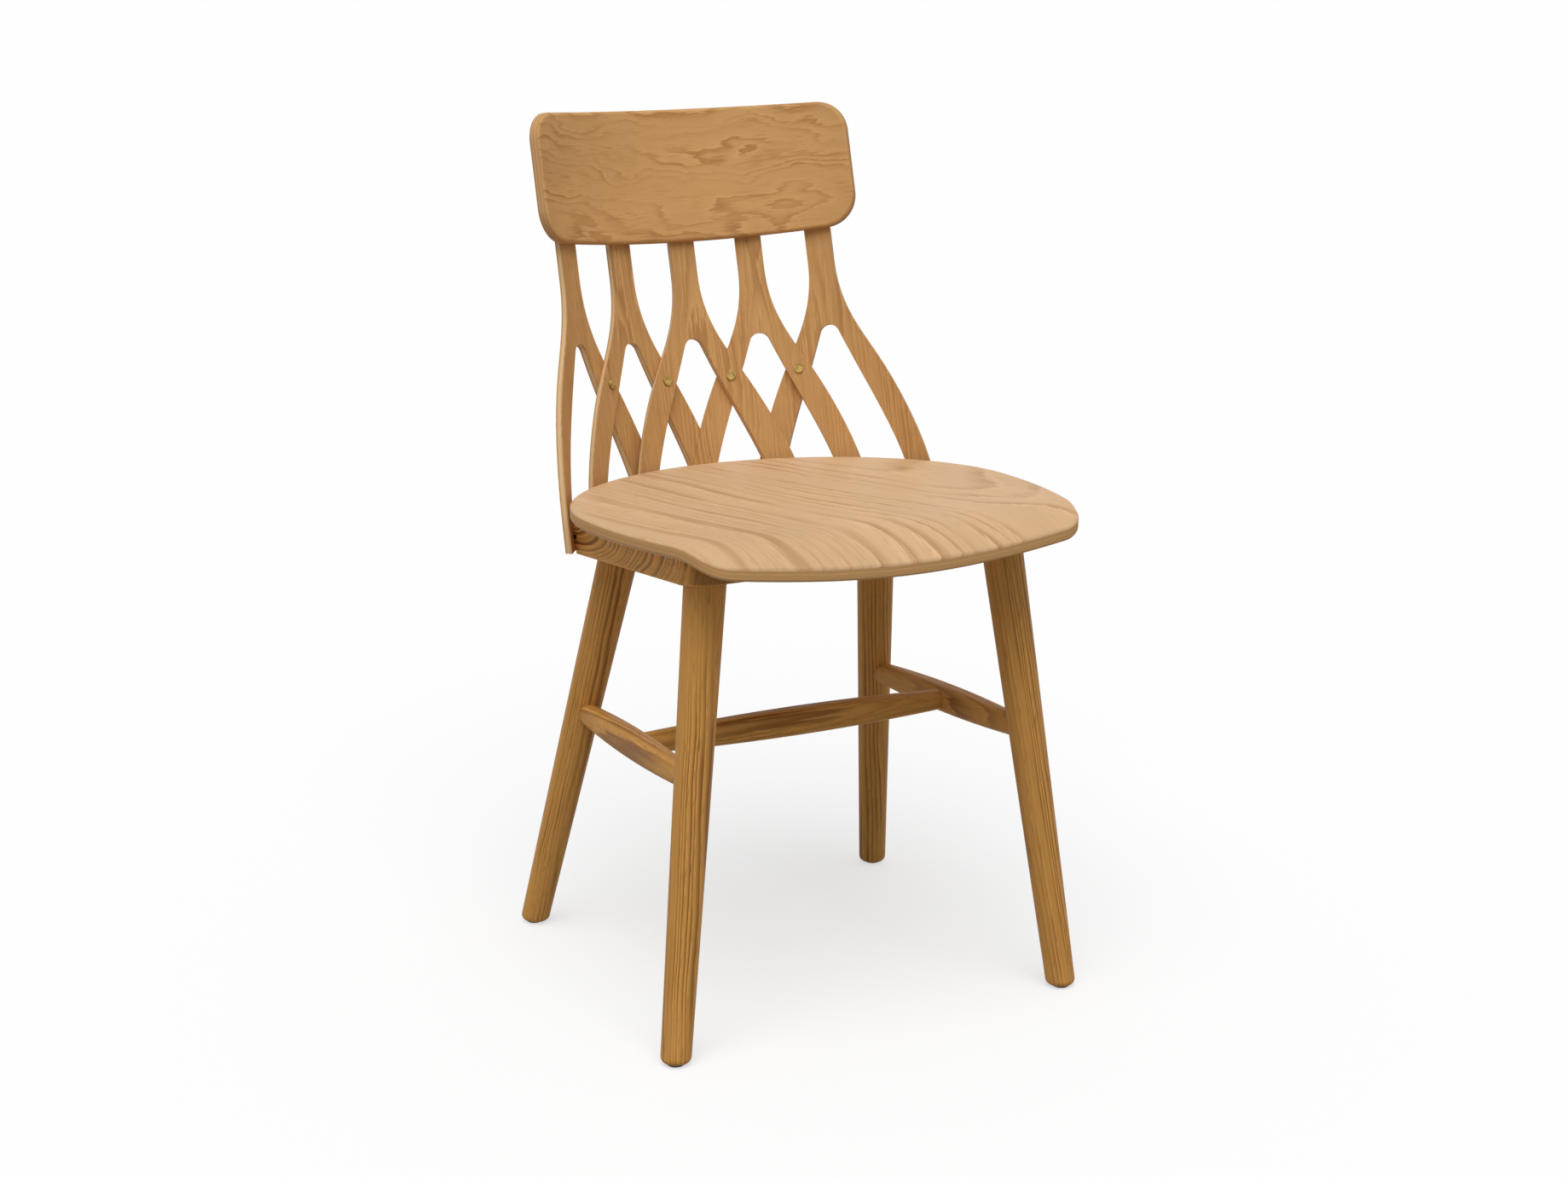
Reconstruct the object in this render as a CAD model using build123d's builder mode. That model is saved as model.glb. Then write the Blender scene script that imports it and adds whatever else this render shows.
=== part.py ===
"""Wooden dining chair with a lattice back of five crossed Y-shaped slats.

Millimetres, +Z up, origin on the floor under the middle of the chair.
The sitter faces -Y, and +X is the right-hand side seen from the front.
"""
import os
from math import asin, atan, cos, degrees, radians, sin, sqrt, tan

from build123d import *

# Legs: where the axes meet the floor, and how they splay
front_foot_x = 195.0
front_foot_y = -197.5
rear_foot_x = 188.0
rear_foot_y = 164.5
front_splay_out = 6.8
front_splay_forward = 5.6
rear_splay_out = 7.9
rear_splay_back = 14.8
leg_foot_diameter = 27.0
leg_top_diameter = 37.0
leg_foot_round = 5.5
leg_tenon_diameter = 22.0
leg_tenon_length = 24.0

# Glides under the feet
glide_diameter = 15.0
glide_height = 2.0
glide_pin_diameter = 5.0
glide_pin_length = 14.0

# Stretchers: an H of two side bars and one cross bar, swelled in the middle
stretcher_front_height = 246.0
stretcher_rear_height = 229.0
stretcher_end_diameter = 18.0
stretcher_mid_width = 21.0
stretcher_mid_height = 26.0
stretcher_arris_radius = 7.5
stretcher_tenon_diameter = 12.0
stretcher_tenon_length = 13.0
cross_stretcher_share = 0.5
cross_tenon_diameter = 9.0
cross_tenon_length = 9.0

# Seat: one moulded ply sheet with a dished middle and a front that rolls down
seat_half_width = 211.5
seat_widest_y = -47.5
seat_back_gap = 20.5
seat_front_y = -257.0
seat_front_corner_x = 176.5
seat_front_bow = 17.5
seat_front_corner_radius = 31.5
seat_thickness = 12.0
seat_rear_rise = 46.0
seat_brow_rise = 60.5
seat_front_rise = 27.0
seat_brow_y = -188.5
seat_dish = 0.8
seat_edge_round = 3.0

# Seat frame
frame_height_middle = 401.0
frame_bottom_rake = 5.6
side_rail_corner_radius = 25.0
side_rail_flare = 2.2
side_rail_inner_x = 110.0
front_rail_depth = 28.0
rear_rail_depth = 36.0
rail_back_inset = 44.0
rail_back_stand = 5.0
rail_edge_round = 2.5

# Back: the slats follow a leaning cylinder that curves round the sitter
back_lean = 16.0
back_radius = 260.0
back_y = 205.0
back_rise = 191.0
outer_slat_radius = 210.0
slat_pitch = 69.5
slat_thickness = 6.5
slat_gap = 0.4
slat_stem_width = 25.5
slat_leg_width = 23.0
slat_top = 162.0
slat_flare = 28.0
slat_crotch = -34.0
slat_crotch_radius = 10.0
slat_crossing = -73.0
slat_low = -165.0
slat_low_spread = 70.5
slat_end = -238.0
slat_end_spread = 79.0
slat_end_lift = 4.0

# Back panel, measured along the leaning cylinder
panel_half_width = 182.0
panel_bottom = 60.0
panel_top = 190.0
panel_crown = 9.0
panel_corner_radius = 31.0
panel_thickness = 11.0
panel_stem_housing = 1.5
panel_edge_round = 3.5

# Fasteners
post_head_diameter = 9.5
post_head_height = 1.4
post_barrel_diameter = 6.0
post_screw_diameter = 3.5
stem_screw_head_diameter = 7.0
stem_screw_head_height = 2.2
stem_screw_diameter = 3.5
stem_screw_bite = 7.0
stem_screw_lower = 84.0
stem_screw_upper = 136.0
end_screw_head_diameter = 8.0
end_screw_head_height = 2.4
end_screw_diameter = 4.0
end_screw_bite = 20.0
end_screw_rise = 42.0
outer_screw_rise = 24.0
outer_screw_inset = 6.0
seat_screw_head_diameter = 9.0
seat_screw_head_height = 3.0
seat_screw_diameter = 4.5
seat_screw_bite = 8.0
seat_screw_x = 140.0
seat_screw_front_y = -100.0
seat_screw_rear_y = 10.0
dowel_diameter = 8.0
dowel_half_length = 16.0
dowel_rise = 9.0
rear_dowel_share = 0.62

# Fits
tenon_clearance = 0.1
bore_clearance = 0.1

# Spare length on blanks that are trimmed later
trim = 40.0
seat_trim = 14.0

# Heights of what the seat frame carries, above its underside in the middle
seat_rear_height = frame_height_middle + seat_rear_rise
seat_brow_height = frame_height_middle + seat_brow_rise
seat_front_height = frame_height_middle + seat_front_rise
back_height = frame_height_middle + back_rise

os.makedirs("parts", exist_ok=True)
sides = {"left": -1, "right": 1}


def save(part, name):
    """Label one finished piece and write it to its own file."""
    part.label = name
    export_step(part, f"parts/{name}.step")


# Legs and their axes
def leg_line(side, foot_x, foot_y, out, forward):
    """Foot of a leg's axis on the floor, and its run for each millimetre of rise."""
    foot = Vector(side * foot_x, foot_y, 0)
    rise = Vector(-side * tan(radians(out)), tan(radians(forward)), 1)
    return foot, rise


leg_lines = {}
for side_name, side in sides.items():
    leg_lines[f"front_{side_name}"] = leg_line(
        side, front_foot_x, front_foot_y, front_splay_out, front_splay_forward
    )
    leg_lines[f"rear_{side_name}"] = leg_line(
        side, rear_foot_x, rear_foot_y, rear_splay_out, -rear_splay_back
    )

frame_fall = tan(radians(frame_bottom_rake))
frame_bottom = Plane(
    (0, 0, frame_height_middle),
    x_dir=(1, 0, 0),
    z_dir=(0, sin(radians(frame_bottom_rake)), cos(radians(frame_bottom_rake))),
)


def leg_point(leg, height):
    """Point on a leg's axis at a height above the floor."""
    foot, rise = leg_lines[leg]
    return foot + rise * height


def shoulder_height(leg):
    """Height at which a leg's axis meets the underside of the seat frame."""
    foot, rise = leg_lines[leg]
    return (frame_height_middle - frame_fall * foot.Y) / (1 + frame_fall * rise.Y)


def leg_radius(leg, height):
    """Radius of a tapered leg at a height above the floor."""
    share = height / shoulder_height(leg)
    return (leg_foot_diameter + (leg_top_diameter - leg_foot_diameter) * share) / 2


def leg_blank(leg):
    """Tapered round leg, longer than needed at both ends."""
    rise = leg_lines[leg][1]
    top = shoulder_height(leg) + trim
    with BuildPart(Plane(leg_point(leg, -trim), z_dir=rise)) as blank:
        Cone(
            leg_radius(leg, -trim),
            leg_radius(leg, top),
            (top + trim) * rise.length,
            align=(Align.CENTER, Align.CENTER, Align.MIN),
        )
    return blank.part


def rod(start, end, diameter):
    """Round rod between two points."""
    run = end - start
    with BuildPart(Plane(start, z_dir=run)) as bar:
        Cylinder(diameter / 2, run.length, align=(Align.CENTER, Align.CENTER, Align.MIN))
    return bar.part


leg_blanks = {leg: leg_blank(leg) for leg in leg_lines}


# Side stretchers run between the leg axes, and the cross stretcher between them
def stretcher_ends(side_name):
    """Points where a side stretcher's axis meets its two leg axes."""
    front = leg_point(f"front_{side_name}", stretcher_front_height)
    rear = leg_point(f"rear_{side_name}", stretcher_rear_height)
    return front, rear


def stretcher_middle(side_name):
    """Point on a side stretcher's axis where the cross stretcher joins it."""
    front, rear = stretcher_ends(side_name)
    return front + (rear - front) * cross_stretcher_share


def stretcher_blank(start, end):
    """Bar between two points, round at its ends and swelled with soft arrises in the middle."""
    run = end - start
    level = run.cross(Vector(0, 0, 1))
    end_radius = stretcher_end_diameter / 2 - tenon_clearance
    with BuildPart() as bar:
        for point in (start, end):
            with BuildSketch(Plane(point, x_dir=level, z_dir=run)):
                RectangleRounded(stretcher_end_diameter, stretcher_end_diameter, end_radius)
        with BuildSketch(Plane(start + run * 0.5, x_dir=level, z_dir=run)):
            RectangleRounded(stretcher_mid_width, stretcher_mid_height, stretcher_arris_radius)
        first, last, middle = bar.pending_faces
        bar.pending_faces = []
        loft([first, middle, last])
    return bar.part


stretcher_blanks = {name: stretcher_blank(*stretcher_ends(name)) for name in sides}


def leg_mortise(leg, side_name):
    """Blind hole in a leg for the end of a side stretcher."""
    front, rear = stretcher_ends(side_name)
    start, far = (front, rear) if leg.startswith("front") else (rear, front)
    run = (far - start).normalized()
    height = start.Z
    bottom = start + run * (leg_radius(leg, height) - stretcher_tenon_length - tenon_clearance)
    return rod(bottom, start + run * trim, stretcher_tenon_diameter + 2 * tenon_clearance)


for side_name in sides:
    for end_name in ("front", "rear"):
        leg_name = f"{end_name}_{side_name}"
        shoulder = leg_point(leg_name, shoulder_height(leg_name))
        along = leg_lines[leg_name][1].normalized()
        glide_top = leg_point(leg_name, glide_height)
        with BuildPart() as leg:
            add(leg_blanks[leg_name])
            split(bisect_by=frame_bottom, keep=Keep.BOTTOM)
            split(bisect_by=Plane.XY.offset(glide_height), keep=Keep.TOP)
            fillet(leg.edges().group_by(Axis.Z)[0], radius=leg_foot_round)
            tenon = along * leg_tenon_length
            add(rod(shoulder - tenon, shoulder + tenon, leg_tenon_diameter))
            add(leg_mortise(leg_name, side_name), mode=Mode.SUBTRACT)
            add(
                rod(
                    glide_top,
                    glide_top + Vector(0, 0, glide_pin_length + bore_clearance),
                    glide_pin_diameter + 2 * bore_clearance,
                ),
                mode=Mode.SUBTRACT,
            )
        save(leg.part, f"{end_name}_leg_{side_name}")

        with BuildPart() as glide:
            add(rod(Vector(glide_top.X, glide_top.Y, 0), glide_top, glide_diameter))
            fillet(glide.edges().group_by(Axis.Z)[0], radius=glide_height / 3)
            add(rod(glide_top, glide_top + Vector(0, 0, glide_pin_length), glide_pin_diameter))
        save(glide.part, f"{end_name}_glide_{side_name}")

for side_name in sides:
    front, rear = stretcher_ends(side_name)
    middle = stretcher_middle(side_name)
    run = (rear - front).normalized()
    inward = Vector(-sides[side_name], 0, 0)
    front_face = front + run * leg_radius(f"front_{side_name}", front.Z)
    rear_face = rear - run * leg_radius(f"rear_{side_name}", rear.Z)
    cross_bottom = middle + inward * (stretcher_mid_width / 2 - cross_tenon_length - tenon_clearance)
    with BuildPart() as side_stretcher:
        add(stretcher_blanks[side_name])
        add(leg_blanks[f"front_{side_name}"], mode=Mode.SUBTRACT)
        add(leg_blanks[f"rear_{side_name}"], mode=Mode.SUBTRACT)
        for face, outward in ((front_face, run * -1), (rear_face, run)):
            root = face - outward * stretcher_tenon_length
            add(rod(root, face + outward * stretcher_tenon_length, stretcher_tenon_diameter))
        add(
            rod(cross_bottom, middle + inward * trim, cross_tenon_diameter + 2 * tenon_clearance),
            mode=Mode.SUBTRACT,
        )
    save(side_stretcher.part, f"side_stretcher_{side_name}")

cross_start = stretcher_middle("left")
cross_end = stretcher_middle("right")
cross_run = (cross_end - cross_start).normalized()
with BuildPart() as cross_stretcher:
    add(stretcher_blank(cross_start, cross_end))
    for side_name in sides:
        add(stretcher_blanks[side_name], mode=Mode.SUBTRACT)
    for point, outward in ((cross_start, cross_run * -1), (cross_end, cross_run)):
        face = point - outward * (stretcher_mid_width / 2)
        tenon = outward * cross_tenon_length
        add(rod(face - tenon, face + tenon, cross_tenon_diameter))
save(cross_stretcher.part, "cross_stretcher")

# Seat sheet: its side view, and everything above its underside
seat_rear_y = back_y + (seat_rear_height - back_height) * tan(radians(back_lean)) - seat_back_gap
seat_rear_end = (seat_rear_y + seat_trim, seat_rear_height)
seat_front_end = (seat_front_y - seat_trim, seat_front_height)
seat_brow = (seat_brow_y, seat_brow_height)
seat_low = (
    (seat_rear_end[0] + seat_brow[0]) / 2,
    (seat_rear_end[1] + seat_brow[1]) / 2 - seat_dish,
)
seat_ceiling = seat_brow_height + trim


def seat_under(y):
    """Height of the seat's underside at a place between its rear end and its brow."""
    share = (y - seat_rear_end[0]) / (seat_brow[0] - seat_rear_end[0])
    chord = seat_rear_end[1] + (seat_brow[1] - seat_rear_end[1]) * share
    return chord - 4 * seat_dish * share * (1 - share) - seat_thickness


with BuildPart() as seat_sheet:
    with BuildSketch(Plane.YZ):
        with BuildLine():
            dish = ThreePointArc(seat_rear_end, seat_low, seat_brow)
            TangentArc(seat_brow, seat_front_end, tangent=dish % 1)
            offset(amount=seat_thickness, side=Side.LEFT)
        make_face()
    extrude(amount=seat_half_width + trim, both=True)

with BuildPart() as seat_space:
    with BuildSketch(Plane.YZ):
        with BuildLine():
            dish = ThreePointArc(seat_rear_end, seat_low, seat_brow)
            TangentArc(seat_brow, seat_front_end, tangent=dish % 1)
            Polyline(
                seat_front_end,
                (seat_front_end[0], seat_ceiling),
                (seat_rear_end[0] + trim, seat_ceiling),
                (seat_rear_end[0] + trim, seat_rear_height - seat_thickness),
                (seat_rear_end[0] - seat_edge_round, seat_rear_height - seat_thickness),
                seat_rear_end,
            )
        make_face()
    extrude(amount=seat_half_width + trim, both=True)
    add(seat_sheet.part)

with BuildPart() as seat_blank:
    add(seat_sheet.part)
    with BuildSketch() as seat_plan:
        with BuildLine():
            seat_reach = seat_rear_y - seat_widest_y
            EllipticalCenterArc((0, seat_widest_y), seat_half_width, seat_reach, arc_size=180)
            flank = TangentArc(
                (seat_half_width, seat_widest_y),
                (seat_front_corner_x, seat_front_y + seat_front_bow),
                tangent=(0, -1),
            )
            mirror(flank, about=Plane.YZ)
            far_corner = (-seat_front_corner_x, seat_front_y + seat_front_bow)
            ThreePointArc(flank @ 1, (0, seat_front_y), far_corner)
        make_face()
        fillet(seat_plan.vertices().group_by(Axis.Y)[0], radius=seat_front_corner_radius)
    extrude(amount=seat_ceiling, mode=Mode.INTERSECT)
    rim = seat_blank.faces().filter_by(lambda face: abs(face.normal_at().Z) < 0.3)
    fillet(rim.edges().filter_by(Axis.Z, reverse=True), radius=seat_edge_round)


# Back: planes square to the leaning axis and facing the sitter
lean = radians(back_lean)
back_plane = Plane((0, back_y, back_height), x_dir=(1, 0, 0), z_dir=(0, sin(lean), cos(lean)))
layer = slat_thickness + slat_gap
slats = (1, 2, 3, 4, 5)
end_slats = (1, 5)
middle_slat = 3


def back_direction(angle):
    """Backward direction square to the leaning axis, turned towards +X by an angle in radians."""
    return back_plane.x_dir * sin(angle) + back_plane.y_dir * cos(angle)


def slat_bend(slat):
    """Facing angle, bend radius, stem point and bend centre of a slat, seen along the leaning axis.

    The outer slats are turned so that one leg passes in front of a neighbour and the other behind;
    the middle slat is bent tighter, so that both of its legs pass in front. The end slats are bent
    tighter too and turned to match, so that their outer legs come round to the seat frame.
    """
    place = slat - middle_slat
    turn = place * slat_pitch / back_radius
    facing = turn
    radius = back_radius
    stand = 0.0
    if place == 0:
        radius = 1 / (1 / back_radius + 2 * layer / slat_pitch**2)
        stand = -layer / 4
    else:
        hand = place / abs(place)
        facing += atan(layer / slat_pitch) * hand
        if slat in end_slats:
            radius = outer_slat_radius
            facing += (1 / outer_slat_radius - 1 / back_radius) * slat_pitch / 4 * hand
    axis = back_plane.origin - back_plane.y_dir * back_radius
    stem = axis + back_direction(turn) * (back_radius + stand)
    return facing, radius, stem, stem - back_direction(facing) * radius


def slat_plane(slat, across, up):
    """Plane on a slat's middle surface, facing backwards, at a place measured on the slat."""
    facing, radius, _, centre = slat_bend(slat)
    angle = facing + asin(across / radius)
    origin = centre + back_direction(angle) * radius + back_plane.z_dir * up
    return Plane(origin, x_dir=back_plane.z_dir, z_dir=back_direction(angle))


def slat_prism(slat):
    """Outline of a slat, an upside-down Y, carried through from front to back."""
    facing, _, stem, _ = slat_bend(slat)
    half_pitch = slat_pitch / 2
    slope = atan((slat_low_spread - half_pitch) / (slat_crossing - slat_low))
    half_leg = slat_leg_width / 2
    half_cut = half_leg / cos(slope)
    notch_bend = (radians(90) + slope) / 2
    notch_low = slat_crotch - slat_crotch_radius
    front_view = Plane(stem, x_dir=back_direction(facing + radians(90)), z_dir=-back_direction(facing))
    with BuildPart() as prism:
        with BuildSketch(front_view):
            with BuildLine():
                stem_side = Polyline(
                    (0, slat_top), (slat_stem_width / 2, slat_top), (slat_stem_width / 2, slat_flare)
                )
                outer = Spline(
                    stem_side @ 1,
                    (half_pitch + half_cut, slat_crossing),
                    (slat_low_spread + half_cut, slat_low),
                    (slat_end_spread + half_leg, slat_end),
                    tangents=((0, -1), (0, -1)),
                )
                notch = ThreePointArc(
                    (0, slat_crotch),
                    (
                        slat_crotch_radius * cos(notch_bend),
                        notch_low + slat_crotch_radius * sin(notch_bend),
                    ),
                    (slat_crotch_radius * cos(slope), notch_low + slat_crotch_radius * sin(slope)),
                )
                inner = Spline(
                    notch @ 1,
                    (half_pitch - half_cut, slat_crossing),
                    (slat_low_spread - half_cut, slat_low),
                    (slat_end_spread - half_leg, slat_end),
                    tangents=((sin(slope), -cos(slope)), (0, -1)),
                )
                Line(outer @ 1, inner @ 1)
                Line((0, slat_top), (0, slat_crotch))
            make_face()
            mirror(about=Plane.YZ)
        extrude(amount=back_radius / 2, both=True)
    return prism.part


def slat_sheet(slat, front, back):
    """Part of a slat's leaning cylinder between two depths from its middle surface."""
    _, radius, _, centre = slat_bend(slat)
    low = slat_end - trim
    with BuildPart() as sheet:
        with BuildSketch(Plane(centre + back_plane.z_dir * low, x_dir=(1, 0, 0), z_dir=back_plane.z_dir)):
            Circle(radius + back)
            Circle(radius + front, mode=Mode.SUBTRACT)
        extrude(amount=slat_top + trim - low)
    return sheet.part


slat_prisms = {slat: slat_prism(slat) for slat in slats}


def slat_housing(slat):
    """Room for a slat in the piece in front of it, open to the back."""
    with BuildPart() as housing:
        add(slat_sheet(slat, -slat_thickness / 2, trim))
        add(slat_prisms[slat], mode=Mode.INTERSECT)
    return housing.part


def headed_pin(seat, head_diameter, head_height, shank_diameter, shank_length):
    """Pin with its head standing on a plane and its shank running down through it."""
    with BuildPart(seat) as pin:
        Cylinder(head_diameter / 2, head_height, align=(Align.CENTER, Align.CENTER, Align.MIN))
        fillet(pin.edges().sort_by(Axis(seat.origin, seat.z_dir))[-1], radius=head_height / 3)
        Cylinder(shank_diameter / 2, shank_length, align=(Align.CENTER, Align.CENTER, Align.MAX))
    return pin.part


def pin_bore(seat, shank_diameter, shank_length):
    """Clearance hole for the shank of a headed pin."""
    end = seat.origin - seat.z_dir * (shank_length + bore_clearance)
    return rod(seat.origin, end, shank_diameter + 2 * bore_clearance)


# Places of the fasteners, each a plane under a head
post_places = [(2, -1), (middle_slat, -1), (middle_slat, 1), (4, 1)]
post_length = slat_thickness + layer - slat_gap
post_seats = []
post_screw_seats = []
for slat, hand in post_places:
    middle = slat_plane(slat, hand * slat_pitch / 2, slat_crossing)
    post_screw_seats.append(middle.offset(layer + slat_thickness / 2 + bore_clearance))
    front = middle.offset(-slat_thickness / 2 - bore_clearance)
    post_seats.append(Plane(front.origin, x_dir=front.x_dir, z_dir=-front.z_dir))

stem_screw_length = slat_thickness + stem_screw_bite
stem_seats = []
for slat in slats:
    for up in (stem_screw_lower, stem_screw_upper):
        stem_seats.append(slat_plane(slat, 0, up).offset(slat_thickness / 2))

end_screw_length = slat_thickness + end_screw_bite
end_places = [
    (1, outer_screw_inset - slat_end_spread, outer_screw_rise),
    (1, slat_end_spread, end_screw_rise),
    (2, slat_end_spread, end_screw_rise),
    (4, -slat_end_spread, end_screw_rise),
    (5, -slat_end_spread, end_screw_rise),
    (5, slat_end_spread - outer_screw_inset, outer_screw_rise),
]
end_seats = []
for slat, across, rise in end_places:
    end_seats.append(slat_plane(slat, across, slat_end + rise).offset(slat_thickness / 2))

stem_bores = [pin_bore(seat, stem_screw_diameter, stem_screw_length) for seat in stem_seats]
post_bores = [pin_bore(seat, post_barrel_diameter, post_length + trim) for seat in post_seats]
end_bores = [pin_bore(seat, end_screw_diameter, end_screw_length) for seat in end_seats]

halving_plane = Plane(back_plane.origin + back_plane.y_dir * layer, z_dir=back_plane.y_dir)
halving_sides = {2: (4, Keep.BOTTOM), 4: (2, Keep.TOP)}
for slat in slats:
    with BuildPart() as back_slat:
        add(slat_sheet(slat, -slat_thickness / 2, slat_thickness / 2))
        add(slat_prisms[slat], mode=Mode.INTERSECT)
        split(bisect_by=frame_bottom.offset(slat_end_lift), keep=Keep.TOP)
        if slat in halving_sides:
            other, keep = halving_sides[slat]
            half = split(slat_prisms[other], bisect_by=halving_plane, keep=keep, mode=Mode.PRIVATE)
            add(half, mode=Mode.SUBTRACT)
        for bore in stem_bores + post_bores + end_bores:
            add(bore, mode=Mode.SUBTRACT)
    save(back_slat.part, f"slat_{slat}")

# Back panel: part of a ring square to the leaning axis; its tilted top face gives the crown
panel_back_radius = back_radius - slat_thickness / 2 + panel_stem_housing
panel_front_radius = panel_back_radius - panel_thickness
panel_turn = panel_half_width / back_radius
panel_foot = Plane(
    back_plane.origin - back_plane.y_dir * back_radius + back_plane.z_dir * panel_bottom,
    x_dir=(1, 0, 0),
    z_dir=back_plane.z_dir,
)
panel_tilt = atan(panel_crown / (back_radius * (1 - cos(panel_turn))))
panel_crest = Plane(
    back_plane.origin + back_plane.z_dir * panel_top,
    x_dir=(1, 0, 0),
    z_dir=back_plane.z_dir * cos(panel_tilt) - back_plane.y_dir * sin(panel_tilt),
)
with BuildPart() as back_panel:
    with BuildSketch(panel_foot):
        with BuildLine():
            start = 90 - degrees(panel_turn)
            sweep = 2 * degrees(panel_turn)
            inner = CenterArc((0, 0), panel_front_radius, start, sweep)
            outer = CenterArc((0, 0), panel_back_radius, start, sweep)
            Line(inner @ 0, outer @ 0)
            Line(inner @ 1, outer @ 1)
        make_face()
    extrude(amount=panel_top + trim - panel_bottom)
    split(bisect_by=panel_crest, keep=Keep.BOTTOM)
    ends = back_panel.faces().sort_by(Axis.X)
    corners = [*ends[0].edges(), *ends[-1].edges()]
    corners = [edge for edge in corners if abs(edge.length - panel_thickness) < panel_thickness / 2]
    fillet(corners, radius=panel_corner_radius)
    rims = back_panel.faces().filter_by(GeomType.CYLINDER).sort_by(SortBy.AREA)[-2:]
    fillet(rims.edges(), radius=panel_edge_round)
    for slat in slats:
        add(slat_housing(slat), mode=Mode.SUBTRACT)
    for bore in stem_bores:
        add(bore, mode=Mode.SUBTRACT)
save(back_panel.part, "back_panel")

# Seat frame: side rails over the legs, with a front and a rear rail between them
rail_corner = leg_point("front_right", shoulder_height("front_right"))
rail_front_y = rail_corner.Y - side_rail_corner_radius
rail_front_x = rail_corner.X + side_rail_corner_radius
rail_rear_x = rail_front_x + tan(radians(side_rail_flare)) * (seat_rear_y - rail_corner.Y)
rail_low = slat_end - 2 * trim
rail_back_radius = back_radius - rail_back_inset
rail_axis_depth = rail_back_stand - rail_back_radius
rail_foot = Plane(
    back_plane.origin + back_plane.y_dir * rail_axis_depth + back_plane.z_dir * rail_low,
    x_dir=(1, 0, 0),
    z_dir=back_plane.z_dir,
)


def rail_height(y):
    """Heights of the underside and the top of the seat frame at a place from front to back."""
    return frame_height_middle - frame_fall * y, seat_under(y)


def rear_joint_y(height):
    """Place from front to back of the dowels between the rear rail and a side rail."""
    reach = sqrt((rail_back_radius - rear_rail_depth * rear_dowel_share) ** 2 - side_rail_inner_x**2)
    depth = reach + rail_back_stand - rail_back_radius
    up = (height - back_height + depth * sin(lean)) / cos(lean)
    return back_y + depth * cos(lean) + up * sin(lean)


with BuildPart() as rail_waste:
    with BuildSketch(rail_foot):
        Rectangle(3 * rail_back_radius, 2 * rail_back_radius, align=(Align.CENTER, Align.MIN))
        Circle(rail_back_radius, mode=Mode.SUBTRACT)
    extrude(amount=-rail_low)
    add(seat_space.part)

dowel_lines = []
for joint_y in (rail_front_y + front_rail_depth / 2, rear_joint_y(frame_height_middle)):
    bottom, top = rail_height(joint_y)
    for rise in (-dowel_rise, dowel_rise):
        height = (bottom + top) / 2 + rise
        for side in sides.values():
            dowel_lines.append(Vector(side * side_rail_inner_x, joint_y, height))

dowel_reach = Vector(dowel_half_length, 0, 0)
dowel_room = Vector(dowel_half_length + bore_clearance, 0, 0)
dowel_bores = [
    rod(point - dowel_room, point + dowel_room, dowel_diameter + 2 * bore_clearance) for point in dowel_lines
]

seat_seats = []
for side in sides.values():
    for screw_y in (seat_screw_front_y, seat_screw_rear_y):
        bottom, top = rail_height(screw_y)
        under_head = Plane((side * seat_screw_x, screw_y, bottom), z_dir=-frame_bottom.z_dir)
        seat_seats.append((under_head, top - bottom))
seat_bores = [pin_bore(seat, seat_screw_diameter, run + seat_screw_bite) for seat, run in seat_seats]

for side_name, side in sides.items():
    with BuildPart() as side_rail:
        with BuildSketch() as rail_plan:
            with BuildLine():
                Polyline(
                    (side * side_rail_inner_x, rail_front_y),
                    (side * rail_front_x, rail_front_y),
                    (side * rail_rear_x, seat_rear_y),
                    (side * side_rail_inner_x, seat_rear_y),
                    close=True,
                )
            make_face()
            corner = rail_plan.vertices().group_by(Axis.Y)[0].sort_by(Axis.X)[-1 if side > 0 else 0]
            fillet(corner, radius=side_rail_corner_radius)
        extrude(amount=seat_brow_height)
        split(bisect_by=frame_bottom, keep=Keep.TOP)
        underside = side_rail.faces().sort_by(Axis.Z)[0]
        joint_x = side_rail_inner_x + rail_edge_round
        outer_edges = underside.edges().filter_by(lambda edge: abs(edge.center().X) > joint_x)
        fillet(outer_edges, radius=rail_edge_round)
        add(rail_waste.part, mode=Mode.SUBTRACT)
        for slat in slats:
            add(slat_housing(slat), mode=Mode.SUBTRACT)
        for end_name in ("front", "rear"):
            leg_name = f"{end_name}_{side_name}"
            shoulder = leg_point(leg_name, shoulder_height(leg_name))
            along = leg_lines[leg_name][1].normalized()
            add(
                rod(
                    shoulder - along * trim,
                    shoulder + along * (leg_tenon_length + tenon_clearance),
                    leg_tenon_diameter + 2 * tenon_clearance,
                ),
                mode=Mode.SUBTRACT,
            )
        for bore in dowel_bores + seat_bores + end_bores:
            add(bore, mode=Mode.SUBTRACT)
    save(side_rail.part, f"side_rail_{side_name}")

with BuildPart() as front_rail:
    with BuildSketch(Plane((0, rail_front_y, 0))):
        Rectangle(2 * side_rail_inner_x, front_rail_depth, align=(Align.CENTER, Align.MIN))
    extrude(amount=seat_brow_height)
    split(bisect_by=frame_bottom, keep=Keep.TOP)
    underside = front_rail.faces().sort_by(Axis.Z)[0]
    fillet(underside.edges().filter_by(Axis.X), radius=rail_edge_round)
    add(seat_space.part, mode=Mode.SUBTRACT)
    for bore in dowel_bores:
        add(bore, mode=Mode.SUBTRACT)
save(front_rail.part, "front_rail")

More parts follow.
